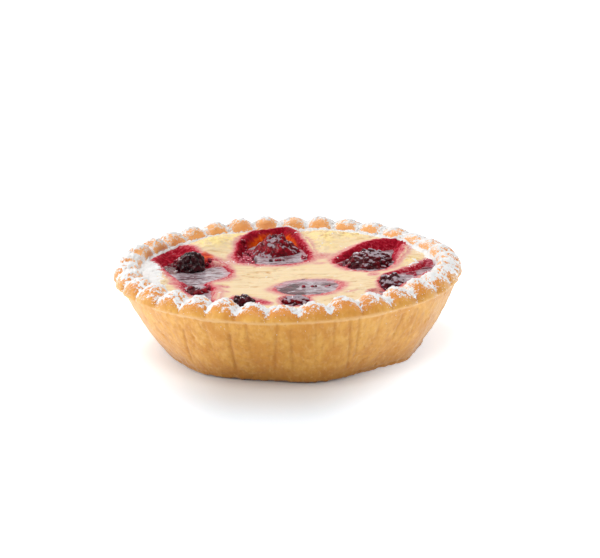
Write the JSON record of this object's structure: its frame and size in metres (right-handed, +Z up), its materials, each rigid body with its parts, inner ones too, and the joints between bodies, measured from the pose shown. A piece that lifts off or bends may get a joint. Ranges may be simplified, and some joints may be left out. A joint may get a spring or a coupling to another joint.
{
  "type": "berry tart",
  "caption": "Open shortcrust tart with a scalloped, sugar-dusted rim, holding a baked cream filling with dark and red berries sunk in it.",
  "frame": {"origin": "middle of the underside, on the surface that the tart stands on", "axes": "+Z up, -Y towards the front of the tart, +X to the right"},
  "size_m": [0.1206, 0.1205, 0.0305],
  "materials": {
    "pastry": "golden baked shortcrust, matt, finely mottled and creased",
    "cream": "baked cream filling, satin, stained crimson round the berries",
    "dark_berry": "cooked dark berry, near black, wet gloss",
    "red_berry": "cooked red berry, dark crimson, wet gloss",
    "glaze": "thin berry syrup, clear and glossy",
    "icing_sugar": "dusted icing sugar, white, powdery"
  },
  "bodies": {
    "root": {"crust": "pastry", "filling": "cream", "berry_back": "red_berry", "berry_left": "dark_berry", "berry_lower_left": "red_berry", "berry_right_back": "dark_berry", "berry_right": "dark_berry", "berry_centre": "dark_berry", "berry_front_left": "dark_berry", "berry_front_middle": "dark_berry", "berry_front_right": "dark_berry"}
  },
  "joints": []
}
